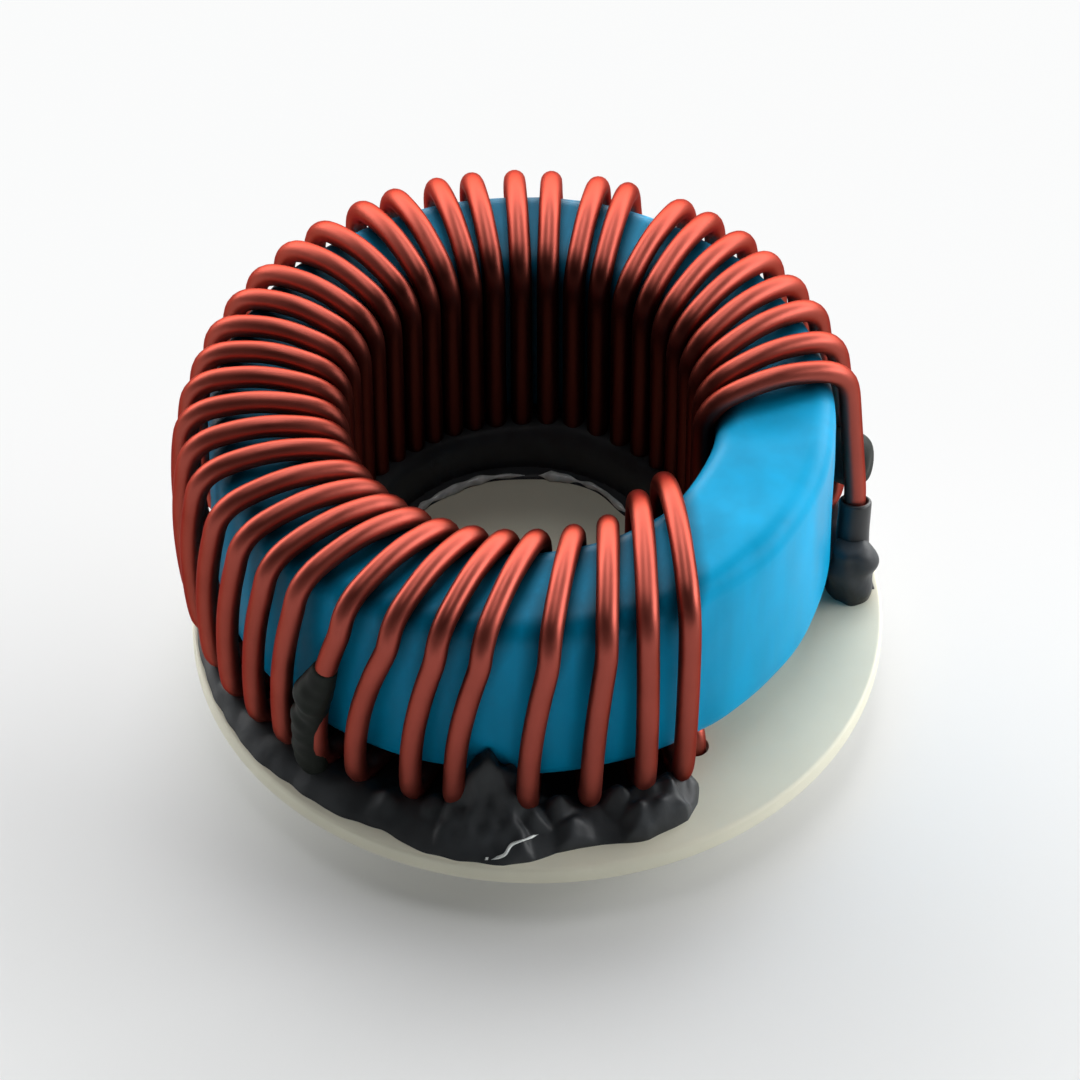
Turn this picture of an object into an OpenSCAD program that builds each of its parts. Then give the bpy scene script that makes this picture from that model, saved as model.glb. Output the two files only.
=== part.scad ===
// Toroidal power inductor: a coated ring core with one layer of thick enamelled wire,
// bedded in black glue on a round base plate, its two lead ends brought out as pins.
// Millimetres. Origin: centre of the base plate's underside. Z is up, the bare stretch
// of the ring faces +X and -Y.

/* [Core] */
// Outside diameter of the coated ring
core_od = 46.2; // [45.4:0.1:46.4]
// Bore of the coated ring
core_id = 28.6; // [28.2:0.1:29.2]
// Height of the coated ring
core_h = 16; // [14:0.1:18]
// Radius of the ring's rounded edges
core_edge = 1.8; // [1.7:0.1:2.2]

/* [Base plate] */
// How much wider the round base plate is than the ring, all round
base_margin = 2.8; // [2.5:0.1:4.5]
// Thickness of the base plate
base_t = 1.6; // [1.2:0.1:2.4]
// Radius rounded off the plate's edges
base_edge = 0.3; // [0.1:0.1:0.5]
// Offset of the coil from the plate's centre along X
coil_x = -1.1; // [-1.4:0.1:-0.8]
// Offset of the coil from the plate's centre along Y
coil_y = 3.4; // [3.1:0.1:3.7]

/* [Winding] */
// Diameter of the wire over its enamel
wire_d = 1.65; // [1.5:0.05:1.65]
// Gap left between the wire and the core's faces
wire_gap = 0.08; // [0.06:0.01:0.2]
// How much further the outer legs stand off the core's side
leg_slack = 0.4; // [0.4:0.05:0.55]
// Bend radius of the wire over the inner top edge of the ring
top_bend = 2.5; // [2.2:0.1:2.6]
// Bend radius of the wire over the outer top edge of the ring
outer_bend = 3; // [2.6:0.1:3.1]
// How far the outer legs bow out at half height
leg_bow = 0.45; // [0.2:0.05:0.6]
// Bend radius of the wire round the bottom edges of the ring
foot_bend = 2; // [1.8:0.1:2.3]
// How far the middle of each run bows up over the top face
crown = 0.5; // [0:0.1:0.9]
// How much of their hand-laid slant back towards the foot the outer legs have
leg_slant = 1; // [0.6:0.1:1.1]

/* [Leads] */
// Direction of the first turn's lead hole from the coil's axis, in degrees
lead_1_az = -3.7; // [-6:0.1:-2]
// Direction of the last turn's lead hole from the coil's axis, in degrees
lead_2_az = -54; // [-54.5:0.1:-53]
// Clearance between the first lead's sleeve and the ring's side, at the plate
lead_1_gap = 0.33; // [0.25:0.01:0.6]
// How far the last lead's hole lies inside the ring's outer side, under the ring
lead_2_in = 1.6; // [1.3:0.1:2]
// How far the first lead bows out above its sleeve
lead_1_bow = 0.5; // [0.3:0.1:0.6]
// How far the lead pins stand out under the plate
pin_len = 3.5; // [2.5:0.5:6]
// Diameter of the tinned lead pins
pin_d = 1.7; // [1.7:0.02:1.8]
// Outside diameter of the black sleeve on the first turn's lead
sleeve_od = 2.5; // [2.3:0.1:3]
// Length of the sleeve
sleeve_len = 6.5; // [5:0.5:8]

/* [Glue] */
// Thickness of the glue film under the winding
film_t = 0.62; // [0.4:0.02:0.66]
// Height of the glue ring inside the bore, above the plate
inner_ring_h = 3.6; // [2:0.2:5]
// Width of the glue ring inside the bore
inner_ring_w = 1.3; // [0.8:0.1:2]
// Height of the bead round the outside, above the plate
bead_h = 2.4; // [1.5:0.1:3.2]
// Width of the bead round the outside
bead_w = 1.7; // [1:0.1:2.2]

/* [Hidden] */
$fn = 64;

// Angle from each turn to the next round the outside, as the turns were laid by hand
outer_step = [
    8, 9, 7.5, 7.5, 7, 7.5, 6, 10.8, 5.5, 8.7, 6.7, 7.8, 6.5, 8.3, 6.7, 9, 7.5, 8, 7.5,
    8, 7.5, 7.5, 7.5, 7.5, 7.5, 9, 7.5, 7.5, 7, 9.5, 8.8, 8.3, 7.6, 11.3, 9.7, 7.2, 7.8
];
// Direction of the first turn's outer leg
outer_first = 7;
// Where the turns crowd inside the bore: [turn, direction], evenly spread in between
inner_rule = [[0, -4], [12, 98.5], [16, 128], [24, 194], [29, 238.5], [33, 276], [35, 297.5], [37, 320.5]];
// How far the legs slant back towards the foot: [turn, degrees]
lean_rule = [[0, 0], [12, 1], [20, 2], [24, 2.5], [29, 3], [30, 3.3], [31, 5.5], [32, 4.6], [33, 4.7],
    [34, 3.7], [35, 2.8], [36, 0.5], [37, 1.2]];
// How far the outer legs stand out: [direction, distance]
reach_rule = [[0, 0], [31, 0], [46, 0.25], [60, 0.4], [84, 0.38], [102, 0.45], [117, 0.35], [137, 0.05],
    [150, -0.18], [168, -0.18], [183, 0.35], [205, 0.45], [222, 0.3], [250, 0.05], [360, 0]];
// How far the last turns stand off the bore: [turn, distance]
inner_off_rule = [[0, 0], [35, 0], [36, 0.9], [37, 0.8]];
turns = len(outer_step) + 1;

wire_r = wire_d / 2;
bed_gap = 0.06;
core_r = core_od / 2;
bore_r = core_id / 2;
leg_r = core_r + wire_r + wire_gap + leg_slack;
inner_r = bore_r - wire_r - wire_gap;
base_r = core_r + base_margin;
fit = 0.1;
core_z = base_t + film_t + bed_gap + wire_d + wire_gap;
run_low_z = core_z - wire_r - wire_gap;
run_top_z = core_z + core_h + wire_r + wire_gap;
coil = [coil_x, coil_y, 0];
hole_d = wire_d + 4 * fit;

function sum_to(v, n) = n <= 0 ? 0 : v[n - 1] + sum_to(v, n - 1);
function mix(a, b, t) = a + (b - a) * t;
function polar(r, az) = [r * cos(az), r * sin(az)];
function unit(v) = v / norm(v);

// Directions of a turn's outer leg at the top and at its foot, and of its inner leg
function outer_az(k) = outer_first + sum_to(outer_step, k);
function foot_az(k) = outer_az(k) - leg_slant * lookup(k, lean_rule);
function inner_az(k) = lookup(k, inner_rule);
function inner_reach(k) = inner_r - lookup(k, inner_off_rule);
// Radius of the outer legs: the hand winding bulges at the back and the left and hugs the back left
function reach(az) = leg_r + lookup(az, reach_rule);

// A point at radius r on the straight plan line from the outer leg at out_az to the inner leg at in_az
function on_run(r, z, out_az, in_az) =
    let (
        far = reach(out_az),
        t = (far - r) / (far - inner_r),
        p = mix(polar(far, out_az), polar(inner_r, in_az), t),
        q = r * unit(p)
    ) [q.x, q.y, z];

// Centreline of one turn in the coil's frame: up the outer leg, over the top, down the bore, back below
function turn_top(k) =
    let (far = reach(outer_az(k)), oz = run_top_z - outer_bend, iz = run_top_z - top_bend)
    concat(
        [for (a = [0, 30, 60, 90])
            on_run(far - outer_bend * (1 - cos(a)), oz + outer_bend * sin(a), outer_az(k), inner_az(k))],
        [on_run((far + inner_r) / 2, run_top_z + crown, outer_az(k), inner_az(k))],
        [for (a = [90, 60, 30, 0])
            let (r = inner_reach(k) + top_bend * (1 - cos(a)))
            on_run(r, iz + top_bend * sin(a), outer_az(k), inner_az(k))]
    );
function turn_foot_inner(k, next_az) =
    [for (a = [0, 45, 90])
        let (r = inner_reach(k) + foot_bend * (1 - cos(a)))
        on_run(r, run_low_z + foot_bend * (1 - sin(a)), next_az, inner_az(k))];
function turn_foot_outer(k) =
    let (far = reach(foot_az(k)))
    [for (a = [90, 45, 0])
        let (r = far - foot_bend * (1 - cos(a)))
        on_run(r, run_low_z + foot_bend * (1 - sin(a)), foot_az(k), inner_az(k - 1))];
// Most of a leg's slant lies in its upper half
low_slant = 0.25;
function leg_middle(k) =
    let (az = mix(foot_az(k), outer_az(k), low_slant), z = (turn_foot_outer(k)[2].z + turn_top(k)[0].z) / 2)
    at_hole(polar(reach(az) + leg_bow, az), z);

// The lead ends, in the plate's frame: the first clears the ring by its sleeve
function at_hole(h, z) = [h.x, h.y, z];
hole_1 = at_hole(coil + at_hole(polar(core_r + sleeve_od / 2 + lead_1_gap, lead_1_az), 0), 0);
hole_2 = at_hole(coil + at_hole(polar(core_r - lead_2_in, lead_2_az), 0), 0);
function below(v) = [v.x, v.y, 0];
lead_1_foot = at_hole(hole_1, base_t + film_t);
// The first lead is straight inside its sleeve and bends back to the ring just above it
lead_1_knee_az = mix(lead_1_az, outer_first, 0.55);
lead_1_knee = coil + at_hole(polar(leg_r + lead_1_bow, lead_1_knee_az), lead_1_foot.z + sleeve_len + 1);
lead_1_dir = unit(lead_1_knee - lead_1_foot);
// The last run heads for a place short of the lead's direction, so that it meets the hole on its way out
run_2_az = lead_2_az + 360 - 4;
run_2_start = turn_foot_inner(turns - 1, run_2_az)[2] + coil;
run_2_dir = unit(below(hole_2 - run_2_start));
lead_2_bend = 1.1;
// The tinned pins start just under the plate, round the wire's ends
pin_top = -fit;
pin_lap = 0.5;
lead_1 = [at_hole(hole_1, pin_top - pin_lap), at_hole(hole_1, base_t), lead_1_foot, lead_1_knee];
lead_2 = concat(
    [for (a = [90, 60, 30, 0])
        at_hole(hole_2, run_low_z - lead_2_bend * (1 - sin(a))) - run_2_dir * lead_2_bend * (1 - cos(a))],
    [at_hole(hole_2, pin_top - pin_lap)]
);
wire_path = concat(
    lead_1,
    [for (k = [0:turns - 1])
        for (p = concat(
            k == 0 ? [] : concat(turn_foot_outer(k), [leg_middle(k)]),
            turn_top(k),
            turn_foot_inner(k, k == turns - 1 ? run_2_az : foot_az(k + 1))
        )) p + coil],
    lead_2
);

// A round bar of radius r swept along a path that runs round the ring
module swept_wire(path, r, sides = 8) {
    last = len(path) - 1;
    spin = 180 / sides;
    function heading(i) = unit(path[min(i + 1, last)] - path[max(i - 1, 0)]);
    function sideways(i) = unit([-path[i].y + coil_y, path[i].x - coil_x, 0]);
    function across(i) = unit(sideways(i) - heading(i) * (sideways(i) * heading(i)));
    rings = [for (i = [0:last])
        let (h = heading(i), u = across(i), v = cross(h, u))
        for (j = [0:sides - 1])
            path[i] + r * (u * cos(spin + 360 * j / sides) + v * sin(spin + 360 * j / sides))];
    walls = [for (i = [0:last - 1], j = [0:sides - 1])
        let (n = (j + 1) % sides, a = i * sides, b = a + sides)
        for (f = [[a + j, b + n, a + n], [a + j, b + j, b + n]]) f];
    polyhedron(rings, concat([[for (j = [0:sides - 1]) j]], walls,
        [[for (j = [0:sides - 1]) last * sides + sides - 1 - j]]), convexity = 20);
}

// A straight rod from one point to another
module rod(from, to, r) {
    d = to - from;
    translate(from)
        rotate([0, acos(d.z / norm(d)), atan2(d.y, d.x)])
            cylinder(h = norm(d), r = r);
}

// The ball whose cap, cut off at z = 0, is a low rounded mound of glue
module mound_ball(r, h) {
    ball_r = (r * r + h * h) / (2 * h);
    translate([0, 0, h - ball_r])
        sphere(r = ball_r);
}

module plate_disc(inset, z, h) {
    translate([0, 0, z])
        cylinder(h = h, r = base_r - inset);
}

module base_plate() {
    color([0.71, 0.71, 0.67])
        difference() {
            rotate_extrude()
                polygon([
                    [0, 0], [base_r - base_edge, 0], [base_r, base_edge],
                    [base_r, base_t - base_edge], [base_r - base_edge, base_t], [0, base_t]
                ]);
            for (h = [hole_1, hole_2])
                translate([h.x, h.y, -1])
                    cylinder(h = base_t + 2, d = hole_d);
        }
}

module core() {
    wall = core_r - bore_r;
    color([0.1, 0.62, 0.86])
        translate([coil_x, coil_y, core_z])
            rotate_extrude()
                translate([bore_r, 0])
                    union() {
                        translate([core_edge, 0])
                            square([wall - 2 * core_edge, core_h]);
                        translate([0, core_edge])
                            square([wall, core_h - 2 * core_edge]);
                        for (x = [core_edge, wall - core_edge], y = [core_edge, core_h - core_edge])
                            translate([x, y])
                                circle(r = core_edge);
                    }
}

module winding() {
    color([0.68, 0.3, 0.24])
        union() {
            swept_wire(wire_path, wire_r);
            for (h = [hole_1, hole_2])
                translate([h.x, h.y, -pin_len])
                    cylinder(h = pin_len + pin_top, d = pin_d);
        }
}

// The glue bed's section: the ring inside the bore, the film below the coil and the outer bead
module bed_section(ring_in, bead_in) {
    ring_out = ring_in + inner_ring_w;
    bead_out = bead_in + bead_w;
    lip = inner_ring_w * 0.3;
    polygon([
        [ring_in, 0], [bead_out, 0], [bead_out, bead_h * 0.45], [bead_out - bead_w * 0.3, bead_h * 0.85],
        [bead_out - bead_w * 0.65, bead_h], [bead_in, bead_h], [bead_in, film_t], [ring_out, film_t],
        [ring_out, inner_ring_h - lip], [ring_out - lip, inner_ring_h],
        [ring_in + lip, inner_ring_h], [ring_in, inner_ring_h - lip]
    ]);
}

// Lumps squeezed out on the bead: [direction, radius, height]
mounds = [[264, 2 * bead_w, 1.9 * bead_h], [291, 1.7 * bead_w, 1.5 * bead_h]];

module glue_bed() {
    ring_in = inner_r - wire_r - fit - inner_ring_w;
    bead_in = leg_r + wire_r + leg_bow + fit;
    mound_at = bead_in + 0.85 * bead_w;
    bed_past = 2;
    bed_to = outer_az(turns - 1) + bed_past;
    color([0.07, 0.07, 0.08])
        difference() {
            union() {
                intersection() {
                    translate([coil_x, coil_y, base_t])
                        rotate([0, 0, lead_1_az])
                            rotate_extrude(angle = bed_to - lead_1_az)
                                bed_section(ring_in, bead_in);
                    plate_disc(base_edge + fit, base_t - 1, core_h);
                }
                for (m = mounds)
                    difference() {
                        intersection() {
                            translate([coil_x, coil_y, base_t] + at_hole(polar(mound_at, m[0]), 0))
                                mound_ball(m[1], m[2]);
                            plate_disc(base_edge + 2 * fit, base_t, core_h);
                        }
                        translate([coil_x, coil_y, base_t - 1])
                            cylinder(h = core_h, r = bead_in + fit);
                    }
            }
            translate([hole_1.x, hole_1.y, base_t - 1])
                cylinder(h = core_h, r = sleeve_od * 1.22);
        }
}

// A dab of glue lying on the outer legs; low and high are parts of the ring's height
module leg_dab(az, out, low, high, r) {
    length = (high - low) * core_h - 2 * r;
    difference() {
        translate([coil_x, coil_y, core_z + low * core_h + r] + at_hole(polar(leg_r + out, az), 0))
            union() {
                cylinder(h = length, r = r);
                sphere(r = r);
                translate([0, 0, length])
                    sphere(r = r);
            }
        translate([coil_x, coil_y, 0])
            cylinder(h = core_z + core_h, r = core_r + wire_gap / 4);
        children();
    }
}

// The two straight halves of a turn's outer leg, with the glue's clearance
dab_gap = 0.05;
module leg_rod(k) {
    rod(turn_foot_outer(k)[2] + coil, leg_middle(k) + coil, wire_r + dab_gap);
    rod(leg_middle(k) + coil, turn_top(k)[0] + coil, wire_r + dab_gap);
    translate(leg_middle(k) + coil)
        sphere(r = wire_r + 2 * dab_gap);
}

module glue_dab_left() {
    color([0.1, 0.1, 0.11])
        leg_dab(outer_az(30) - 3.7, 0.1, 0.14, 0.6, wire_d * 1.27) {
            leg_rod(30);
            leg_rod(29);
        }
}

module glue_dab_right() {
    color([0.16, 0.17, 0.16])
        leg_dab(outer_az(1) - 4, 0.6, 0.14, 0.475, wire_d * 1.3)
            leg_rod(1);
}

module lead_sleeve() {
    start = lead_1_foot + lead_1_dir * 0.5;
    color([0.05, 0.05, 0.06])
        difference() {
            rod(start, start + lead_1_dir * sleeve_len, sleeve_od / 2);
            rod(start - lead_1_dir, start + lead_1_dir * (sleeve_len + 1), wire_r + 0.04);
        }
}

base_plate();
core();
winding();
glue_bed();
glue_dab_left();
glue_dab_right();
lead_sleeve();
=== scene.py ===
"""Studio dress of a toroidal power inductor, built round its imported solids.

A ring core in a blue epoxy coat carries one layer of thick red-brown enamelled wire, wound by hand.
Black sealing glue beds the coil on a round insulating plate, and both lead ends go down through it as
tinned pins.

Lengths in the classes are millimetres in the frame of the solids: the origin is the centre of the plate's
underside, +Z is up, and the bare stretch of the ring faces between +X and -Y. Angles are degrees round the
coil's axis from +X. Meshes are put in at metres.
"""

import logging
import math
from dataclasses import dataclass, field
from enum import Enum

import bpy
import numpy as np
from mathutils import Matrix, Vector


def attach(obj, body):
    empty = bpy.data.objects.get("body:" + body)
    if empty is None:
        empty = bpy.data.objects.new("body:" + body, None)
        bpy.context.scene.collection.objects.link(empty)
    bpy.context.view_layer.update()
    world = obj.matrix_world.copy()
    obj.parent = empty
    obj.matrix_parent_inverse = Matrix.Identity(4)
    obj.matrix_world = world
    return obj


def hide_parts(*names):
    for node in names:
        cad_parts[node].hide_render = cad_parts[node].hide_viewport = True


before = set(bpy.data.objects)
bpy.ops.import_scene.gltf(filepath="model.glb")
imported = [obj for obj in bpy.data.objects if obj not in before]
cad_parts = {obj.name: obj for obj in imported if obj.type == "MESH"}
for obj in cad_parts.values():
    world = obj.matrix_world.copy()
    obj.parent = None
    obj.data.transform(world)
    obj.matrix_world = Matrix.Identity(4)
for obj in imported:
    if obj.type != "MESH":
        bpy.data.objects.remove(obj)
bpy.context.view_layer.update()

MM = 0.001
ROOT = "root"

# Painted shade darkens the coil's bore: the share of the colour that it takes, the distance from the
# coil's axis from which a surface is unshaded, and the distance over which it fades.
PAINTED_SHADE = "painted_shade"
BORE_PAINTED_SHADE = 0.7
BORE_UNSHADED_R = 15.4
BORE_FADE = 1.5

Array = np.ndarray
Socket = bpy.types.NodeSocket
Wiring = dict[str | int, object]
log = logging.getLogger("inductor")


class Slot(Enum):
    """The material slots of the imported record."""

    LAMINATE = "base_laminate"
    COAT = "core_coat"
    WIRE = "enamelled_wire"
    GLUE = "black_glue"
    SLEEVE = "black_sleeve"


class Ends(Enum):
    """How the first and last ring of a swept or turned surface are closed."""

    JOINED = "joined"
    CAPPED = "capped"


class Curve(Enum):
    """How a ramp of a node tree runs between its two values."""

    STRAIGHT = "LINEAR"
    EASED = "SMOOTHSTEP"


def polar(radius: Array | float, azimuth: Array | float) -> Array:
    """Gives plan points (r cos a, r sin a).

    Args:
        radius: Distances from the axis.
        azimuth: Angles in degrees, of a shape that fits the distances.

    Returns:
        The points, with x and y on the last axis.
    """
    angle = np.radians(azimuth)
    return np.stack(np.broadcast_arrays(radius * np.cos(angle), radius * np.sin(angle)), axis=-1)


def raised(plan: Array, z: Array | float) -> Array:
    """Puts a height behind plan points, (x, y) to (x, y, z), or behind radii, (r) to (r, z)."""
    height = np.broadcast_to(z, plan.shape[:-1])
    return np.concatenate([plan, height[..., None]], axis=-1)


def unit(vectors: Array) -> Array:
    """Scales vectors on the last axis to length 1."""
    return vectors / np.linalg.norm(vectors, axis=-1, keepdims=True)


def ripple(points: Array, wavelength: float, seed: int, waves: int = 8) -> Array:
    """A smooth uneven field of spread about 1: the sum of sin(k.p + phase) over a few random directions.

    Args:
        points: Places in millimetres, with x, y and z on the last axis.
        wavelength: The middle wavelength in millimetres.
        seed: Chooses the directions and phases.
        waves: How many sines are added.

    Returns:
        One value for each point.
    """
    dice = np.random.default_rng(seed)
    pace = 2 * np.pi / (wavelength * dice.uniform(0.7, 1.5, waves))
    aim = unit(dice.normal(size=(waves, 3))) * pace[:, None]
    phase = dice.uniform(0, 2 * np.pi, waves)
    return np.sin(points @ aim.T + phase).sum(axis=-1) / math.sqrt(waves / 2)


def bell(distance: Array, width: float) -> Array:
    """A bell curve of height 1: exp(-(d / w)^2)."""
    return np.exp(-((distance / width) ** 2))


def smooth_top(first: Array, second: Array, blend: float) -> Array:
    """The larger of two heights with the crease between them rounded: b log(exp(f / b) + exp(s / b))."""
    return blend * np.logaddexp(first / blend, second / blend)


@dataclass
class Skin:
    """A closed surface in millimetres on a grid of rings, each ring closed on itself.

    Attributes:
        rings: Points, of shape (rings, points in a ring, 3).
        ends: Whether the last ring joins the first or both are closed by a fan to their own centre.
        uv: Map coordinates of shape (rings, points in a ring, 2), or none.
        painted_shade: How much of each point's colour painted shade takes, of shape (rings, points in a
            ring), or none.
    """

    rings: Array
    ends: Ends = Ends.CAPPED
    uv: Array | None = None
    painted_shade: Array | None = None

    def faces(self) -> tuple[Array, Array]:
        """Works out the grid's four-sided faces and the three-sided faces of the end fans.

        Point j of ring i has number i * n + j. A face joins (i, j), (i, j+1), (i+1, j+1) and (i+1, j), and
        the fans run to two more points, the centres of the first and last ring.

        Returns:
            The point numbers of the four-sided and of the three-sided faces.
        """
        count, n = self.rings.shape[:2]
        i = np.arange(count if self.ends is Ends.JOINED else count - 1)[:, None]
        j = np.arange(n)[None, :]
        along, nxt = ((i + 1) % count) * n, (j + 1) % n
        quads = np.stack([i * n + j, i * n + nxt, along + nxt, along + j], axis=-1).reshape(-1, 4)
        if self.ends is Ends.JOINED:
            return quads, np.zeros((0, 3), int)
        last, first_hub, last_hub = (count - 1) * n, count * n, count * n + 1
        near = np.stack([np.full(n, first_hub), nxt[0], j[0]], axis=-1)
        far = np.stack([np.full(n, last_hub), last + j[0], last + nxt[0]], axis=-1)
        return quads, np.concatenate([near, far])

    def listed(self, grid: Array) -> Array:
        """Lists what each point of a grid has; where the ends are capped, both hubs' share follows.

        Args:
            grid: Values of shape (rings, points in a ring, ...).

        Returns:
            One row for each point, then the means of the first and of the last ring for the hubs.
        """
        flat = grid.reshape(-1, *grid.shape[2:])
        if self.ends is Ends.JOINED:
            return flat
        return np.concatenate([flat, grid[[0, -1]].mean(axis=1)])

    def inside_out(self, points: Array, quads: Array) -> bool:
        """Tells whether the faces enclose a negative volume, the sum of a.(b x c) / 6 over half faces."""
        a, b, c, d = (points[quads[:, k]] for k in range(4))
        return float(np.sum(a * np.cross(b, c)) + np.sum(a * np.cross(c, d))) < 0

    def piece(self, name: str, crease: float = 40) -> bpy.types.Object:
        """Puts the surface into the scene, facing outwards.

        Args:
            name: The object's name.
            crease: Edges sharper than this many degrees stay sharp.

        Returns:
            The new object, at the origin.
        """
        points = self.listed(self.rings)
        quads, tris = self.faces()
        if self.inside_out(points, quads):
            quads, tris = quads[:, ::-1], tris[:, ::-1]
        mesh = bpy.data.meshes.new(name)
        mesh.from_pydata((points * MM).tolist(), [], quads.tolist() + tris.tolist())
        mesh.polygons.foreach_set("use_smooth", np.ones(len(mesh.polygons), bool))
        if self.uv is not None:
            self.put_map(mesh)
        if self.painted_shade is not None:
            self.put_painted_shade(mesh)
        mesh.update()
        mesh.set_sharp_from_angle(angle=math.radians(crease))
        shape = bpy.data.objects.new(name, mesh)
        bpy.context.scene.collection.objects.link(shape)
        return shape

    def put_map(self, mesh: bpy.types.Mesh) -> None:
        """Gives each face corner the map coordinates of its point.

        Args:
            mesh: The mesh that was made from this surface.
        """
        corners = np.empty(len(mesh.loops), int)
        mesh.loops.foreach_get("vertex_index", corners)
        spread = self.listed(self.uv)[corners].astype(np.float32)
        mesh.uv_layers.new(name="along").data.foreach_set("uv", spread.ravel())

    def put_painted_shade(self, mesh: bpy.types.Mesh) -> None:
        """Gives each point its painted shade.

        Args:
            mesh: The mesh that was made from this surface.
        """
        shade_share = self.listed(self.painted_shade).astype(np.float32)
        mesh.attributes.new(PAINTED_SHADE, "FLOAT", "POINT").data.foreach_set("value", shade_share)


def bore_painted_shade(points: Array, axis: Array) -> Array:
    """How much colour painted shade takes in the bore: g clip((c - d) / f, 0, 1) at a distance d from the
    axis.
    """
    distance = np.linalg.norm(points[..., :2] - axis, axis=-1)
    return BORE_PAINTED_SHADE * np.clip((BORE_UNSHADED_R - distance) / BORE_FADE, 0, 1)


def turned(profile: Array, columns: int, axis: Array) -> Array:
    """Turns a profile round a vertical axis: (r, z) becomes (x0 + r cos a, y0 + r sin a, z).

    Args:
        profile: Points (r, z).
        columns: How many steps the full turn has.
        axis: The axis's plan point (x0, y0).

    Returns:
        Rings of shape (profile points, columns, 3).
    """
    azimuth = np.arange(columns) * 360 / columns
    plan = polar(profile[:, :1], azimuth[None, :]) + axis
    return raised(plan, profile[:, 1:])


def arc(centre: tuple[float, float], radius: float, start: float, end: float, steps: int) -> Array:
    """Lists points c + r (cos a, sin a) from one angle to another."""
    return np.array(centre) + polar(radius, np.linspace(start, end, steps))


def swept(path: Array, radius: Array | float, sides: int, hub: Array) -> Array:
    """Carries a circle along a path: p + r (u cos t + v sin t).

    u is the direction round the hub's axis with its part along the path taken off, and v is square to both,
    so that the circle never spins about the path.

    Args:
        path: Centre points of shape (n, 3).
        radius: One radius, or one for each point or for each point and side.
        sides: Points in a circle.
        hub: The plan point that the path runs round.

    Returns:
        Rings of shape (n, sides, 3).
    """
    heading = unit(np.gradient(path, axis=0))
    away = path[:, :2] - hub
    round_hub = unit(raised(np.stack([-away[:, 1], away[:, 0]], axis=-1), 0.0))
    u = unit(round_hub - heading * np.sum(round_hub * heading, axis=-1, keepdims=True))
    v = np.cross(heading, u)
    t = np.arange(sides) * 2 * np.pi / sides
    spokes = u[:, None] * np.cos(t)[:, None] + v[:, None] * np.sin(t)[:, None]
    reach = np.broadcast_to(radius[:, None] if np.ndim(radius) == 1 else radius, (len(path), sides))
    return path[:, None] + spokes * reach[..., None]


def evenly(path: Array, step: float) -> Array:
    """Places points along a path at even spacing.

    Args:
        path: Points of shape (n, 3).
        step: The spacing wanted, in millimetres.

    Returns:
        The new points, both ends kept.
    """
    gone = np.concatenate([[0], np.cumsum(np.linalg.norm(np.diff(path, axis=0), axis=1))])
    marks = np.linspace(0, gone[-1], int(gone[-1] / step) + 1)
    return np.stack([np.interp(marks, gone, path[:, k]) for k in range(3)], axis=-1)


def relaxed(path: Array, spread: int) -> Array:
    """Rounds a path as springy wire does: each point becomes the weighted mean of its neighbours.

    Args:
        path: Evenly spaced points of shape (n, 3).
        spread: How many neighbours count on each side, under a bell-shaped weight.

    Returns:
        The rounded path, both ends kept.
    """
    weight = bell(np.arange(-spread, spread + 1), spread / 2)
    weight = weight / weight.sum()
    padded = np.pad(path, ((spread, spread), (0, 0)), mode="reflect", reflect_type="odd")
    return np.stack([np.convolve(padded[:, k], weight, mode="valid") for k in range(3)], axis=-1)


def drilled(piece: bpy.types.Object, bits: list[bpy.types.Object], crease: float = 30) -> bpy.types.Object:
    """Cuts holes through a piece and removes the bits that cut them.

    Args:
        piece: The piece to cut.
        bits: Closed pieces of the shape of each hole.
        crease: Edges sharper than this many degrees stay sharp.

    Returns:
        The same piece with its new mesh.
    """
    for bit in bits:
        cut = piece.modifiers.new("hole", "BOOLEAN")
        cut.operation = "DIFFERENCE"
        cut.solver = "EXACT"
        cut.object = bit
    solid = piece.evaluated_get(bpy.context.evaluated_depsgraph_get())
    mesh = bpy.data.meshes.new_from_object(solid)
    mesh.set_sharp_from_angle(angle=math.radians(crease))
    piece.modifiers.clear()
    piece.data = mesh
    for bit in bits:
        bpy.data.objects.remove(bit)
    return piece


@dataclass
class Bench:
    """A node tree at work: nodes are added to it ready set and wired.

    Attributes:
        tree: The node tree of a material or of the world.
    """

    tree: bpy.types.NodeTree

    def node(self, kind: str, inputs: Wiring, **choices: str) -> bpy.types.Node:
        """Adds a node.

        Args:
            kind: The shader node's kind.
            inputs: What each input gets, by its name or number: another node's output, or a value.
            choices: The node's own settings, such as its operation.

        Returns:
            The node.
        """
        node = self.tree.nodes.new("ShaderNode" + kind)
        for setting, choice in choices.items():
            setattr(node, setting, choice)
        self.feed(node, inputs)
        return node

    def feed(self, node: bpy.types.Node, inputs: Wiring) -> None:
        """Gives a node's inputs what they get.

        Args:
            node: The node.
            inputs: For each input, by its name or number, another node's output or a value.
        """
        for socket, given in inputs.items():
            if isinstance(given, Socket):
                self.tree.links.new(given, node.inputs[socket])
            else:
                node.inputs[socket].default_value = given

    def worked_out(self, operation: str, *terms: Socket | float) -> Socket:
        """Adds one step of arithmetic on its terms and gives its result."""
        return self.node("Math", dict(enumerate(terms)), operation=operation).outputs["Value"]

    def noise(self, place: Socket, scale: float, detail: float) -> Socket:
        """Adds a noise of a scale and a fineness on the coordinates that come from place."""
        return self.node("TexNoise", {"Vector": place, "Scale": scale, "Detail": detail}).outputs["Fac"]

    def ramp(self, value: Socket, ends: tuple[float, ...], curve: Curve = Curve.STRAIGHT) -> Socket:
        """Adds a ramp that stays level beyond both ends.

        Args:
            value: What the ramp follows.
            ends: Where it starts and ends, and its values there.
            curve: How it runs in between.

        Returns:
            The ramp's output.
        """
        limits = dict(zip(("From Min", "From Max", "To Min", "To Max"), ends))
        ramp = self.node("MapRange", {"Value": value, **limits}, interpolation_type=curve.value)
        return ramp.outputs["Result"]


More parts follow.
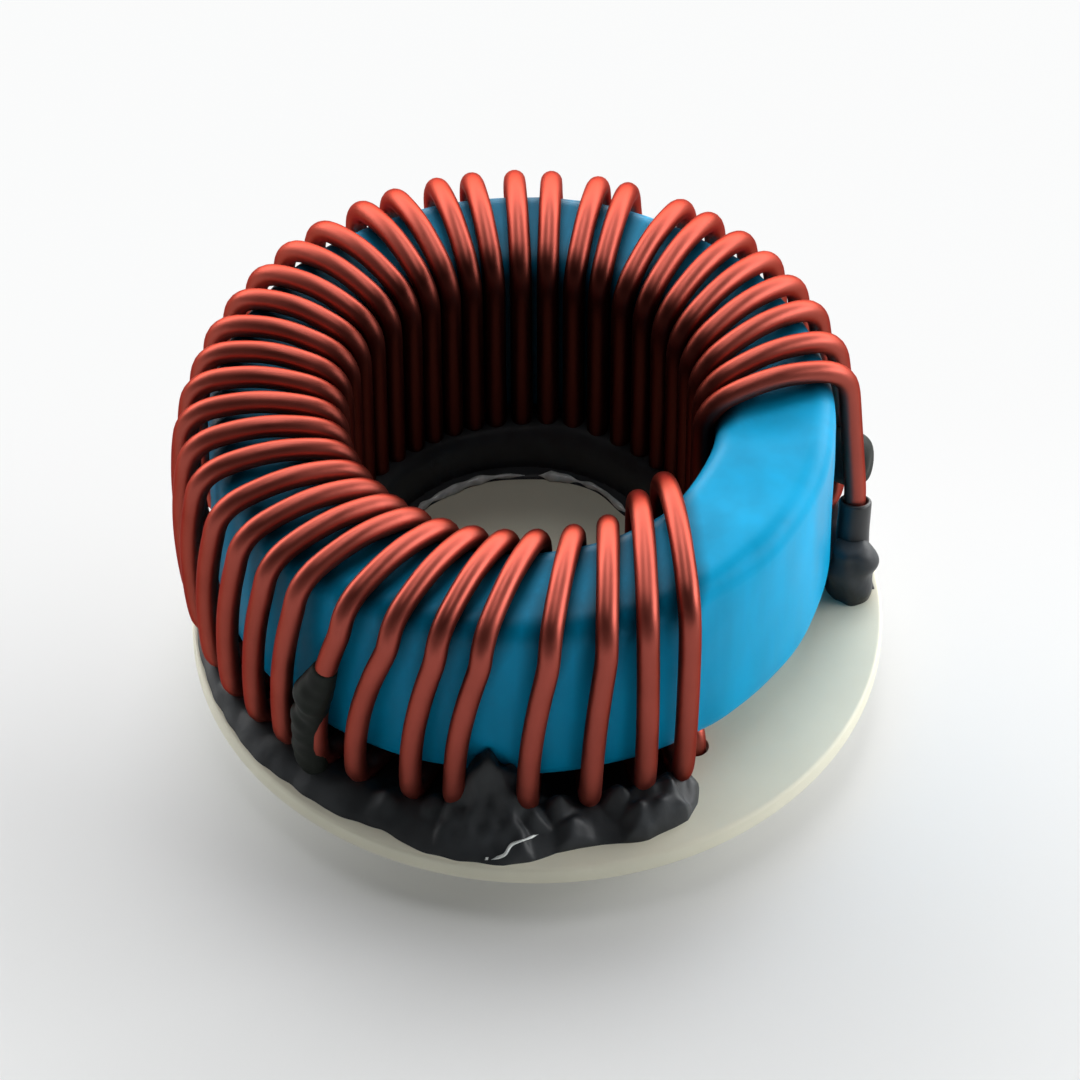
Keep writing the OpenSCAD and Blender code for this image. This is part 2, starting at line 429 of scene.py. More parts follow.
@dataclass(frozen=True)
class Finish:
    """A finish of one substance: a base colour with slow mottles, a gloss that wanders, and fine relief.

    Where a surface has painted shade, its colour is darker by that share.

    Attributes:
        name: The material's name.
        colour: Base colour, linear red, green and blue.
        roughness: Middle roughness.
        metallic: 0 for a dielectric, 1 for bare metal.
        coat: Weight of a clear skin over the base.
        coat_roughness: Roughness of that skin.
        specular: Strength of the base's own reflection.
        tint: Colour of a metal's reflection at its edges.
        ior: Index of refraction of the base.
        mottle: How far the colour's brightness wanders, as a fraction.
        mottle_scale: Mottles in a metre.
        drawn_out: Mottles run down the part where this is below 1.
        wander: How far the roughness wanders.
        relief: Height of the relief in millimetres.
        relief_scale: Relief bumps in a metre.
        noise_span: Values of the noise between which mottles and gloss change.
    """

    name: str
    colour: tuple[float, float, float]
    roughness: float
    metallic: float = 0.0
    coat: float = 0.0
    coat_roughness: float = 0.1
    specular: float = 0.5
    tint: tuple[float, float, float] = (1.0, 1.0, 1.0)
    ior: float = 1.5
    mottle: float = 0.05
    mottle_scale: float = 150.0
    drawn_out: float = 1.0
    wander: float = 0.05
    relief: float = 0.01
    relief_scale: float = 900.0
    noise_span: tuple[float, float] = (0.3, 0.7)

    def material(self) -> bpy.types.Material:
        """Builds the material: noise on the object's own coordinates drives colour, roughness and relief.

        Returns:
            The material.
        """
        material = bpy.data.materials.new(self.name)
        material.use_nodes = True
        bench = Bench(material.node_tree)
        place = bench.node("TexCoord", {}).outputs["Object"]
        drawn = bench.node("VectorMath", {0: place, 1: (1, 1, self.drawn_out)}, operation="MULTIPLY")
        slow = bench.noise(drawn.outputs["Vector"], self.mottle_scale, 3)
        fine = bench.noise(place, self.relief_scale, 4)
        shade = bench.ramp(slow, (*self.noise_span, 1 - self.mottle, 1 + self.mottle))
        # Painted shade: a mesh attribute darkens the base colour by its share, in the bore and between the
        # turns.
        painted_shade = bench.node("Attribute", {}, attribute_name=PAINTED_SHADE)
        unshaded = bench.worked_out("SUBTRACT", 1, painted_shade.outputs["Fac"])
        light = bench.worked_out("MULTIPLY", shade, unshaded)
        colour = bench.node("VectorMath", {0: self.colour, "Scale": light}, operation="SCALE")
        matt, glossy = self.roughness + self.wander, self.roughness - self.wander
        gloss = bench.ramp(slow, (*self.noise_span, glossy, matt))
        bump = bench.node("Bump", {"Strength": 1, "Distance": self.relief * MM, "Height": fine})
        bench.feed(material.node_tree.nodes["Principled BSDF"], {
            "Base Color": colour.outputs["Vector"],
            "Metallic": self.metallic,
            "Roughness": gloss,
            "IOR": self.ior,
            "Specular IOR Level": self.specular,
            "Specular Tint": (*self.tint, 1),
            "Coat Weight": self.coat,
            "Coat Roughness": self.coat_roughness,
            "Normal": bump.outputs["Normal"],
        })
        return material


ENAMEL = Finish(
    "red_brown_enamel", (0.36, 0.078, 0.058), 0.42, metallic=0.93, tint=(0.5, 0.18, 0.14),
    mottle=0.1, mottle_scale=260, wander=0.05, relief=0.012, relief_scale=500,
)
TINNED = Finish(
    "tinned_copper", (0.72, 0.71, 0.68), 0.32, metallic=1.0,
    mottle=0.08, mottle_scale=600, wander=0.08, relief=0.03, relief_scale=1200,
)
EPOXY = Finish(
    "sky_blue_epoxy", (0.0, 0.36, 0.66), 0.42, specular=0.1,
    mottle=0.13, mottle_scale=260, drawn_out=0.2, wander=0.08, relief=0.03, relief_scale=260,
)
LAMINATE = Finish(
    "pale_laminate", (0.81, 0.79, 0.64), 0.5,
    mottle=0.04, mottle_scale=140, wander=0.05, relief=0.006, relief_scale=1500,
)
GLUE = Finish(
    "black_glue", (0.034, 0.038, 0.042), 0.5, specular=0.35,
    mottle=0.3, mottle_scale=300, wander=0.08, relief=0.09, relief_scale=600,
)
DULL_GLUE = Finish(
    "dull_black_glue", (0.009, 0.012, 0.009), 0.6, specular=0.2,
    mottle=0.3, mottle_scale=500, wander=0.1, relief=0.05, relief_scale=600,
)
# Painted highlight: a pale colour for glue strings that stand where the black glue's glossy edges catch the
# light.
GLUE_HIGHLIGHT = Finish(
    "painted_glue_highlight", (0.76, 0.8, 0.78), 0.2, coat=0.5, coat_roughness=0.1,
    mottle=0.3, mottle_scale=900, wander=0.05, relief=0.01, relief_scale=900,
)
TUBING = Finish(
    "black_tubing", (0.018, 0.019, 0.02), 0.42,
    mottle=0.15, mottle_scale=400, wander=0.06, relief=0.02, relief_scale=700,
)


@dataclass
class Layout:
    """The coil's driving sizes, shared by the pieces that touch it.

    Attributes:
        axis: The coil's axis on the plate.
        base_t: Thickness of the plate.
        base_r: Radius of the plate.
        core_r: Outside radius of the coated ring.
        bore_r: Radius of its bore.
        core_z: Height of its underside.
        core_h: Its height.
        wire_r: Radius of the wire.
        leg_r: Radius on which the outer legs stand.
        inner_r: Radius on which the inner legs stand.
        lead_1_az: Direction of the first lead's hole.
        lead_1_bow: How far that lead bows out above its sleeve.
        lead_2_az: Direction of the last lead's hole.
        lead_2_in: How far that hole lies inside the ring's outer side.
        sleeve_od: Outside diameter of the first lead's sleeve.
        sleeve_gap: Clearance between the sleeve and the ring.
        sleeve_len: Length of the sleeve.
        pin_len: How far the pins stand out below.
        film: Thickness of the glue film below the coil.
        knee_share: Share of the way from the hole to the first leg that the first lead's bend lies round.
        knee_rise: Height of that bend over the sleeve.
    """

    axis: Array = field(default_factory=lambda: np.array([-1.1, 3.4]))
    base_t: float = 1.6
    base_r: float = 25.9
    core_r: float = 23.1
    bore_r: float = 14.3
    core_z: float = 4.01
    core_h: float = 16.0
    wire_r: float = 0.825
    leg_r: float = 24.405
    inner_r: float = 13.395
    lead_1_az: float = -3.7
    lead_1_bow: float = 0.5
    lead_2_az: float = -54.0
    lead_2_in: float = 1.6
    sleeve_od: float = 2.5
    sleeve_gap: float = 0.33
    sleeve_len: float = 6.5
    pin_len: float = 3.5
    film: float = 0.62
    knee_share: float = 0.55
    knee_rise: float = 1.0

    def hole(self, number: int) -> Array:
        """Finds a lead hole in the plate.

        Args:
            number: 1 for the first lead's hole, 2 for the last one's.

        Returns:
            The hole's plan point.
        """
        first = polar(self.core_r + self.sleeve_od / 2 + self.sleeve_gap, self.lead_1_az)
        second = polar(self.core_r - self.lead_2_in, self.lead_2_az)
        return self.axis + (first if number == 1 else second)

    def lead_foot(self) -> Array:
        """Gives the point at which the first lead leaves the glue film."""
        return raised(self.hole(1), self.base_t + self.film)

    def lead_knee(self, first_az: float) -> Array:
        """Finds the place above the sleeve at which the first lead bends back to the ring.

        Args:
            first_az: Direction of the first outer leg.

        Returns:
            The point, in the plate's frame.
        """
        azimuth = self.lead_1_az + (first_az - self.lead_1_az) * self.knee_share
        plan = self.axis + polar(self.leg_r + self.lead_1_bow, azimuth)
        return raised(plan, self.lead_foot()[2] + self.sleeve_len + self.knee_rise)


@dataclass
class WireTurns:
    """One layer of enamelled wire, from its first lead hole round the ring to its last.

    Attributes:
        lay: The shared layout.
        steps: Angle from each turn to the next round the outside.
        first_az: Direction of the first outer leg.
        inner_at: Turns at which the crowding inside the bore is known.
        inner_az: Directions of those turns' inner legs.
        off_at: Turns at which the inner legs' stand-off from the bore is known.
        inner_off: How far those legs stand off.
        lean_at: Turns at which the slant of the outer legs is known.
        lean: How far those legs slant back to the foot, in degrees.
        reach_at: Directions in which the outer legs' stand-off is known.
        reach_out: How far they stand out there.
        clearance: Gap between the wire and the coat.
        leg_bow: How far a leg bows out at half height.
        top_bend: Bend radius over the inner top edge.
        outer_bend: Bend radius over the outer top edge.
        foot_bend: Bend radius round the bottom edges.
        foot_flare: How far a leg's foot spreads outwards, from the left round to the last turn.
        flare_from: Direction in which the feet start to spread.
        flare_over: Over how many degrees they come to their full spread.
        top_turn: How far the bends over the top edges turn, in degrees.
        crown: How far a run bows up over the top face.
        lead_bend: Bend radius of the last lead into its hole.
        lead_lag: How many degrees before its hole the last run below aims.
        wire_end: Height in the holes at which the wire gives way to the pins.
        bend_steps: Points on a bend at the foot.
        leg_steps: Steps along a leg.
        top_steps: Points on a bend over the top.
        run_steps: Steps along a run over the top.
        spacing: Distance between rings of the swept surface.
        spring: How many neighbours on each side the wire's springiness reaches, where it rounds the path.
        sides: Sides of the swept circle.
    """

    lay: Layout
    steps: tuple[float, ...] = (
        8, 9, 7.5, 7.5, 7, 7.5, 6, 10.8, 5.5, 8.7, 6.7, 7.8, 6.5, 8.3, 6.7, 9, 7.5, 8, 7.5,
        8, 7.5, 7.5, 7.5, 7.5, 7.5, 9, 7.5, 7.5, 7, 9.5, 8.8, 8.3, 7.6, 11.3, 9.7, 7.2, 7.8,
    )
    first_az: float = 7.0
    inner_at: tuple[float, ...] = (0, 12, 16, 24, 29, 33, 35, 37)
    inner_az: tuple[float, ...] = (-4, 98.5, 128, 194, 238.5, 276, 297.5, 320.5)
    off_at: tuple[float, ...] = (0, 35, 36, 37)
    inner_off: tuple[float, ...] = (0, 0, 0.9, 0.8)
    lean_at: tuple[float, ...] = (0, 12, 20, 24, 29, 30, 31, 32, 33, 34, 35, 36, 37)
    lean: tuple[float, ...] = (0, 1, 2, 2.5, 3, 5.0, 6.3, 4.6, 4.7, 3.7, 2.8, 0.5, 1.2)
    reach_at: tuple[float, ...] = (0, 31, 46, 60, 84, 102, 117, 137, 150, 168, 183, 205, 222, 250, 360)
    reach_out: tuple[float, ...] = (
        0, 0, 0.25, 0.4, 0.38, 0.45, 0.35, 0.05, -0.18, -0.18, 0.35, 0.45, 0.3, 0.05, 0,
    )
    clearance: float = 0.08
    leg_bow: float = 0.45
    top_bend: float = 2.5
    outer_bend: float = 3.0
    foot_bend: float = 1.2
    foot_flare: float = 0.35
    flare_from: float = 196.0
    flare_over: float = 16.0
    top_turn: float = 81.0
    crown: float = 0.5
    lead_bend: float = 1.1
    lead_lag: float = 4.0
    wire_end: float = -0.6
    bend_steps: int = 7
    leg_steps: int = 12
    top_steps: int = 9
    run_steps: int = 14
    spacing: float = 0.55
    spring: int = 3
    sides: int = 18

    def __post_init__(self) -> None:
        """Works out each turn's directions and the heights of the runs."""
        self.out_az = self.first_az + np.concatenate([[0], np.cumsum(self.steps)])
        self.turns = np.arange(len(self.out_az))
        self.foot_az = self.out_az - np.interp(self.turns, self.lean_at, self.lean)
        self.in_az = np.interp(self.turns, self.inner_at, self.inner_az)
        self.in_r = self.lay.inner_r - np.interp(self.turns, self.off_at, self.inner_off)
        stand_off = self.lay.wire_r + self.clearance
        self.low_z = self.lay.core_z - stand_off
        self.top_z = self.lay.core_z + self.lay.core_h + stand_off

    def reach(self, azimuth: Array) -> Array:
        """Radius of the outer legs, which bulges at the back and the left and hugs the back left."""
        return self.lay.leg_r + np.interp(azimuth, self.reach_at, self.reach_out)

    def flare(self, azimuth: Array) -> Array:
        """How far the feet spread outwards in each direction."""
        return self.foot_flare * np.clip((azimuth - self.flare_from) / self.flare_over, 0, 1)

    def on_run(self, radius: Array, z: Array, out_az: Array, in_az: Array) -> Array:
        """A point at a radius on the straight plan line from an outer leg to an inner leg.

        Args:
            radius: Distances from the coil's axis.
            z: Heights.
            out_az: Direction of the outer leg.
            in_az: Direction of the inner leg.

        Returns:
            Points in the coil's frame.
        """
        far = self.reach(out_az)
        t = ((far - radius) / (far - self.lay.inner_r))[..., None]
        line = polar(far, out_az) * (1 - t) + polar(self.lay.inner_r, in_az) * t
        return raised(radius[..., None] * unit(line), z)

    def foot_bends(self, angle: Array, start: Array, way: int, foot: Array, inner: Array) -> Array:
        """Bends at the bottom, of radius f: radius start + way f (1 - cos a), height low + f (1 - sin a).

        Args:
            angle: The angles a, in radians.
            start: Radius of the leg that the bend joins.
            way: 1 where the bend leads outwards from the leg and -1 where it leads inwards.
            foot: Direction of the run's outer end.
            inner: Direction of its inner end.

        Returns:
            The bends' points, of shape (turns, points, 3).
        """
        radius = start + way * self.foot_bend * (1 - np.cos(angle))
        return self.on_run(radius, self.low_z + self.foot_bend * (1 - np.sin(angle)), foot, inner)

    def foot_outside(self, k: Array) -> Array:
        """The bends from the runs below the ring up into outer legs k.

        Args:
            k: Numbers of the turns.

        Returns:
            Points of shape (turns, points, 3).
        """
        angle = np.radians(np.linspace(90, 0, self.bend_steps))[None, :]
        foot, inner = self.foot_az[k][:, None], self.in_az[k - 1][:, None]
        return self.foot_bends(angle, self.reach(foot) + self.flare(foot), -1, foot, inner)

    def foot_inside(self, k: Array, next_az: Array) -> Array:
        """The bends from inner legs k into the runs below.

        Args:
            k: Numbers of the turns.
            next_az: Directions of the feet that the runs lead to.

        Returns:
            Points of shape (turns, points, 3).
        """
        angle = np.radians(np.linspace(0, 90, self.bend_steps))[None, :]
        return self.foot_bends(angle, self.in_r[k][:, None], 1, next_az[:, None], self.in_az[k][:, None])

    def leg(self, k: Array) -> Array:
        """Outer legs k between their bends, from s = 0 at the foot to s = 1.

        The direction is foot + lean s^2, and the radius is reach + bow sin(pi s)^0.8 + flare (1 - s)^2.

        Args:
            k: Numbers of the turns.

        Returns:
            Points of shape (turns, points, 3).
        """
        s = np.linspace(0, 1, self.leg_steps + 1)[None, 1:-1]
        low, high = self.low_z + self.foot_bend, self.top_z - self.outer_bend
        azimuth = self.foot_az[k][:, None] + (self.out_az[k] - self.foot_az[k])[:, None] * s**2
        bow = self.leg_bow * np.sin(np.pi * s) ** 0.8
        radius = self.reach(azimuth) + bow + self.flare(azimuth) * (1 - s) ** 2
        return raised(polar(radius, azimuth), low + (high - low) * s)

    def over_top(self, k: Array) -> Array:
        """Turns k from their outer legs over the top face to their inner legs.

        Each bend turns from upright to nearly level, and the run between them bows up by crown sin(pi t).

        Args:
            k: Numbers of the turns.

        Returns:
            Points of shape (turns, points, 3).
        """
        a = np.radians(np.linspace(0, self.top_turn, self.top_steps))[None, :]
        out, inn = self.out_az[k][:, None], self.in_az[k][:, None]
        far, near = self.reach(out), self.in_r[k][:, None]
        lift = self.top_z - self.outer_bend * (1 - np.sin(a))
        up = self.on_run(far - self.outer_bend * (1 - np.cos(a)), lift, out, inn)
        t = np.linspace(0, 1, self.run_steps + 1)[None, 1:-1]
        share = 1 - np.cos(a[0, -1])
        start, end = far - self.outer_bend * share, near + self.top_bend * share
        run = self.on_run(start + (end - start) * t, self.top_z + self.crown * np.sin(np.pi * t), out, inn)
        drop = a[:, ::-1]
        fall = self.top_z - self.top_bend + self.top_bend * np.sin(drop)
        down = self.on_run(near + self.top_bend * (1 - np.cos(drop)), fall, out, inn)
        return np.concatenate([up, run, down], axis=1)

    def path(self) -> Array:
        """The wire's centreline, from the first lead hole through all turns to the last.

        Returns:
            Its points, in the plate's frame.
        """
        lay, hub = self.lay, raised(self.lay.axis, 0.0)
        last_az = lay.lead_2_az + 360 - self.lead_lag
        next_az = np.append(self.foot_az[1:], last_az)
        foot, leg = self.foot_outside(self.turns), self.leg(self.turns)
        over, under = self.over_top(self.turns), self.foot_inside(self.turns, next_az)
        body = np.concatenate([foot, leg, over, under], axis=1) + hub
        first = body[0, foot.shape[1] + leg.shape[1]:]
        rest = body[1:].reshape(-1, 3)
        hole_1, hole_2 = lay.hole(1), lay.hole(2)
        shaft = [raised(hole_1, z) for z in (self.wire_end, 0, lay.base_t)]
        start = np.array([*shaft, lay.lead_foot(), lay.lead_knee(self.first_az)])
        aim = unit(hole_2 - rest[-1, :2])
        a = np.radians(np.linspace(90, 0, self.bend_steps))
        bend = raised(
            hole_2 - aim * (self.lead_bend * (1 - np.cos(a)))[:, None],
            self.low_z - self.lead_bend * (1 - np.sin(a)),
        )
        finish = np.concatenate([bend, [raised(hole_2, lay.base_t), raised(hole_2, self.wire_end)]])
        return np.concatenate([start, first, rest, finish])

    def centreline(self) -> Array:
        """The wire's path with its bends rounded, as evenly spaced points."""
        return relaxed(evenly(self.path(), self.spacing), self.spring)

    def build(self) -> bpy.types.Object:
        """Sweeps the wire's round section along its centreline.

        Returns:
            The piece, with a map that runs round and along the wire.
        """
        path = self.centreline()
        rings = swept(path, self.lay.wire_r, self.sides, self.lay.axis)
        along = np.arange(len(path))[:, None] * self.spacing * MM
        around = np.arange(self.sides)[None, :] / self.sides
        uv = np.stack(np.broadcast_arrays(around, along), axis=-1)
        # Painted shade darkens the wire inside the bore.
        return Skin(rings, uv=uv, painted_shade=bore_painted_shade(rings, self.lay.axis)).piece("wire_turns")


@dataclass
class TinnedPins:
    """The two lead ends below the plate, dipped in solder.

    Attributes:
        lay: The shared layout.
        pin_r: Radius of the tinned wire.
        dip: Radius that the solder rounds off the cut end.
        solder: How uneven the solder's skin is, as a share of the radius.
        seed: Chooses its unevenness.
        rows: Rings along the shaft.
        columns: Points round it.
    """

    lay: Layout
    pin_r: float = 0.85
    dip: float = 0.22
    solder: float = 0.02
    seed: int = 30
    rows: int = 24
    columns: int = 40

    def build(self) -> list[bpy.types.Object]:
        """Turns each pin from its section and gives the solder a slightly uneven skin.

        Returns:
            Both pins.
        """
        tip, shoulder = -self.lay.pin_len, self.dip - self.lay.pin_len
        end = arc((self.pin_r - self.dip, shoulder), self.dip, 270, 360, 7)
        shaft = raised(np.full((self.rows, 1), self.pin_r), np.linspace(shoulder + 0.1, -0.1, self.rows))
        profile = np.concatenate([[[0.3, tip]], end, shaft, [[self.pin_r - 0.02, -0.08]]])
        pins = []
        for number in (1, 2):
            rings = turned(profile, self.columns, self.lay.hole(number))
            away = rings - raised(self.lay.hole(number), 0.0)
            away[..., 2] = 0
            thin = self.solder * (1 + ripple(rings, 1.6, self.seed + number))
            rings = rings - away * thin[..., None].clip(0, 3 * self.solder)
            pins.append(Skin(rings).piece(f"tinned_pin_{number}"))
        return pins


@dataclass
class CoatedCore:
    """The pressed ring in its blue epoxy coat.

    Attributes:
        lay: The shared layout.
        wire: The winding, between whose turns shade is painted.
        edge: Radius of the rounded edges.
        sag: How uneven the coat's thickness is.
        shade_share: How much of the colour the painted shade takes against the wire.
        shade_share_from: Distance from the wire's centreline at which the painted shade starts.
        shade_share_over: Over what distance it comes to its full share.
        columns: Points round the ring.
    """

    lay: Layout
    wire: WireTurns
    edge: float = 1.8
    sag: float = 0.035
    shade_share: float = 0.85
    shade_share_from: float = 2.4
    shade_share_over: float = 1.2
    columns: int = 320

    def section(self) -> Array:
        """The ring's closed section: straight walls with many points, joined by quarter arcs.

        Returns:
            Its points (r, z).
        """
        lay, e = self.lay, self.edge
        low, high = lay.core_z, lay.core_z + lay.core_h
        corners = (
            ((lay.core_r - e, high - e), 0), ((lay.bore_r + e, high - e), 90),
            ((lay.bore_r + e, low + e), 180), ((lay.core_r - e, low + e), 270),
        )
        arcs = [arc(centre, e, start, start + 90, 9) for centre, start in corners]
        walls = [np.linspace(arcs[k][-1], arcs[(k + 1) % 4][0], 14)[1:-1] for k in range(4)]
        return np.concatenate([part for pair in zip(arcs, walls) for part in pair])

    def build(self) -> bpy.types.Object:
        """Turns the section and lets the coat sag and swell along the outward normal.

        Returns:
            The piece, with its painted shade.
        """
        section = self.section()
        rings = turned(section, self.columns, self.lay.axis)
        ahead = np.roll(section, -1, axis=0) - np.roll(section, 1, axis=0)
        normal = unit(np.stack([ahead[:, 1], -ahead[:, 0]], axis=-1))
        outward = turned(normal, self.columns, np.zeros(2))
        swell = self.sag * (ripple(rings, 9.0, 3) + 0.5 * ripple(rings, 4.0, 4)) - self.sag
        surface = rings + outward * swell[..., None]
        return Skin(surface, Ends.JOINED, painted_shade=self.painted_shade(surface)).piece("coated_core")

    def painted_shade(self, surface: Array) -> Array:
        """How far painted shade darkens the coat: g clip((from - d) / over, 0, 1) at a distance d from the
        wire.

        The bore is painted dark all over.

        Args:
            surface: The coat's points, of shape (rings, points in a ring, 3).

        Returns:
            The share of the colour that is lost at each point.
        """
        path = self.wire.centreline()
        gap = np.stack([np.linalg.norm(ring[:, None] - path, axis=-1).min(axis=1) for ring in surface])
        # Painted shade between the turns, where the neighbouring wires shade the coat.
        between = self.shade_share * np.clip((self.shade_share_from - gap) / self.shade_share_over, 0, 1)
        return np.maximum(between, bore_painted_shade(surface, self.lay.axis))


@dataclass
class BaseDisc:
    """The round insulating plate, with a hole for each lead.

    Attributes:
        lay: The shared layout.
        edge: Radius rounded off the rim.
        hole_r: Radius of the lead holes.
        hub_r: Radius of the small fan that closes both faces in the middle.
        columns: Points round the plate.
        hole_columns: Points round a hole.
    """

    lay: Layout
    edge: float = 0.3
    hole_r: float = 1.025
    hub_r: float = 0.5
    columns: int = 256
    hole_columns: int = 48

    def build(self) -> bpy.types.Object:
        """Turns the plate and drills it.

        Returns:
            The piece.
        """
        lay, e = self.lay, self.edge
        inset = lay.base_r - e
        face = np.array([self.hub_r, inset * 0.6, inset - 0.1])[:, None]
        profile = np.concatenate([
            raised(face, lay.base_t),
            arc((inset, lay.base_t - e), e, 90, 0, 8),
            arc((inset, e), e, 0, -90, 8),
            raised(face[::-1], 0.0),
        ])
        plate = Skin(turned(profile, self.columns, np.zeros(2))).piece("base_disc", 30)
        wall = np.array([[self.hole_r, -1.0], [self.hole_r, lay.base_t + 1.0]])
        bits = [
            Skin(turned(wall, self.hole_columns, lay.hole(number))).piece(f"bit_{number}")
            for number in (1, 2)
        ]
        return drilled(plate, bits)


@dataclass(frozen=True)
class Chip:
    """A clump of glue like a chip of slate: the lowest of several slanting planes, its ridges rounded.

    Attributes:
        az: Direction of its middle.
        far: Distance of its middle from the coil's axis.
        planes: Each plane's height over the plate at the middle, its slope round the coil towards the next
            turn, and its slope outwards.
        ridge: How much the ridges are rounded.
        round_r: Radius on which its length round the coil is measured.
    """

    az: float
    far: float
    planes: tuple[tuple[float, float, float], ...]
    ridge: float = 0.28
    round_r: float = 26.0

    def height(self, azimuth: Array, radius: Array) -> Array:
        """The clump's height: -b log(sum exp(-z / b)), with z = h + s t + q o on each plane.

        Args:
            azimuth: Directions of the points.
            radius: Their distances from the coil's axis.

        Returns:
            The height over the plate, below it outside the clump.
        """
        along, out = np.radians(azimuth - self.az) * self.round_r, radius - self.far
        planes = np.stack([high + lean * along + slope * out for high, lean, slope in self.planes])
        return -self.ridge * np.log(np.exp(-planes / self.ridge).sum(axis=0))


@dataclass(frozen=True)
class Cone:
    """A small clump of glue: h - s hypot(d, b) at a distance d from its middle.

    Attributes:
        az: Direction of its middle.
        far: Distance of its middle from the coil's axis.
        high: Its height over the plate, but for the blunt tip.
        slope: How steep it is.
        blunt: How blunt its tip is.
    """

    az: float
    far: float
    high: float
    slope: float
    blunt: float = 0.3

    def height(self, azimuth: Array, radius: Array) -> Array:
        """The cone's height over the plate, below it outside the cone."""
        away = np.linalg.norm(polar(radius, azimuth) - polar(self.far, self.az), axis=-1)
        return self.high - self.slope * np.hypot(away, self.blunt)


@dataclass
class GlueBed:
    """Black glue under and round the coil: a ring inside the bore, a film below, a sloping bead outside.

    Attributes:
        lay: The shared layout.
        wire: The winding, whose feet the glue climbs.
        start_az: Where the bed starts.
        end_az: Where it ends.
        skirt_in: Inner radius of the thin skirt that the ring spreads over the plate.
        skirt: The skirt's thickness.
        ring_in: Inner radius of the ring in the bore.
        ring_out: Its outer radius, in among the inner legs.
        ring_h: Its height over the plate.
        crest_r: Radius of the bead's crest, among the feet.
        crest_h: Its height over the plate.
        edge_at: Directions in which the bead's outer edge is known.
        edge_r: The edge's radius there.
        bead_in: How far the bead reaches inwards from its crest.
        film_rise: Distance over which the skirt thickens into the film.
        rim_gap: How far the bed keeps inside the plate's rim.
        wave: How far the bead's edge waves in and out.
        climb_h: How far the glue climbs each foot.
        climb_w: How far round a foot it climbs.
        skirt_wave: How far the skirt's edge waves in and out.
        sunk: How far the underside lies below the plate's face.
        drawn_back: How many degrees the edges of the ring's ends lie behind their middle.
        drawn_from: Distance from the coil's axis at which nothing is drawn back.
        drawn_fade: Over what distance inwards from there the draw-back comes in.
        drawn_over: Over how many degrees from each end the grid is drawn back.
        edge_round: Distance over which the bed's edges are rounded.
        end_round: Distance over which its ends are rounded.
        clumps: The clumps in front: a chip, a peak behind it, a lump at the bed's end, and small ones.
        crease: How much the crease round a clump is filled.
        columns: Columns of the grid.
    """

    lay: Layout
    wire: WireTurns
    start_az: float = -3.7
    end_az: float = 301.0
    skirt_in: float = 10.1
    skirt: float = 0.2
    ring_in: float = 11.25
    ring_out: float = 15.5
    ring_h: float = 3.5
    crest_r: float = 25.0
    crest_h: float = 1.15
    edge_at: tuple[float, ...] = (
        0, 199, 208, 219, 228, 238, 248, 256, 266, 271, 275, 282, 289, 296, 299, 301,
    )
    edge_r: tuple[float, ...] = (
        26.6, 26.6, 26.6, 26.7, 26.9, 27.4, 27.7, 28.45, 28.95, 28.4, 27.7, 27.6, 27.95, 27.4, 26.2, 24.9,
    )
    bead_in: float = 2.6
    film_rise: float = 0.3
    rim_gap: float = 0.3
    wave: float = 0.09
    climb_h: float = 0.35
    climb_w: float = 1.2
    skirt_wave: float = 0.15
    sunk: float = 0.02
    drawn_back: float = 13.0
    drawn_from: float = 20.0
    drawn_fade: float = 4.0
    drawn_over: float = 24.0
    edge_round: float = 0.42
    end_round: float = 1.1
    clumps: tuple[Chip | Cone, ...] = (
        Chip(263.5, 24.9, ((3.3, 0.05, -0.84), (8.01, 2.1, -0.2), (6.58, -1.6, -0.15), (4.4, 0, 2))),
        Chip(263.5, 24.9, ((4.07, 0, -1.9), (7.4, 2, 0), (6.5, -1.1, 0), (9.56, 0, 2.4), (5.3, 0, -0.3))),
        Chip(292.0, 25.2, (
            (2.9, 0.1, -0.3), (6.265, -0.1, -2.3), (6.14, -2.4, 0), (4.7, 1.5, 0), (3.4, 0, 1.9),
        )),
        Cone(247.3, 25.3, 2.3, 1.0),
        Cone(255.0, 24.9, 2.6, 1.2),
        Cone(276.4, 24.7, 3.1, 1.4),
        Cone(277.8, 26.0, 2.1, 0.9),
        Cone(286.2, 24.7, 3.3, 1.5),
        Cone(289.0, 26.2, 3.0, 1.3),
        Cone(295.3, 24.8, 2.9, 1.3),
    )
    crease: float = 0.1
    columns: int = 960

    def rim(self, azimuth: Array) -> Array:
        """Radius at which the bed meets the plate outside: its wavy edge, or just inside the plate's rim.

        The plate's rim lies at -l + (l^2 - |axis|^2 + limit^2)^0.5, with l the axis's part along the
        direction.

        Args:
            azimuth: Directions from the coil's axis.

        Returns:
            The radius in each direction.
        """
        lean = polar(1.0, azimuth) @ self.lay.axis
        limit = self.lay.base_r - self.rim_gap
        most = -lean + np.sqrt(lean**2 - self.lay.axis @ self.lay.axis + limit**2)
        spot = raised(polar(27.0, azimuth), 0.0)
        wavy = np.interp(azimuth, self.edge_at, self.edge_r) + self.wave * ripple(spot, 4.0, 11)
        return np.minimum(most, wavy) - 0.05 * (1 + ripple(spot, 2.5, 12))

    def climb(self, plan: Array) -> Array:
        """How far the glue climbs the outer legs: a bell round each foot.

        Args:
            plan: Plan points round the coil's axis.

        Returns:
            The height that it adds at each.
        """
        feet = polar(self.wire.reach(self.wire.foot_az), self.wire.foot_az)
        gap = np.linalg.norm(plan[..., None, :] - feet, axis=-1).min(axis=-1)
        return self.climb_h * bell(gap, self.climb_w)

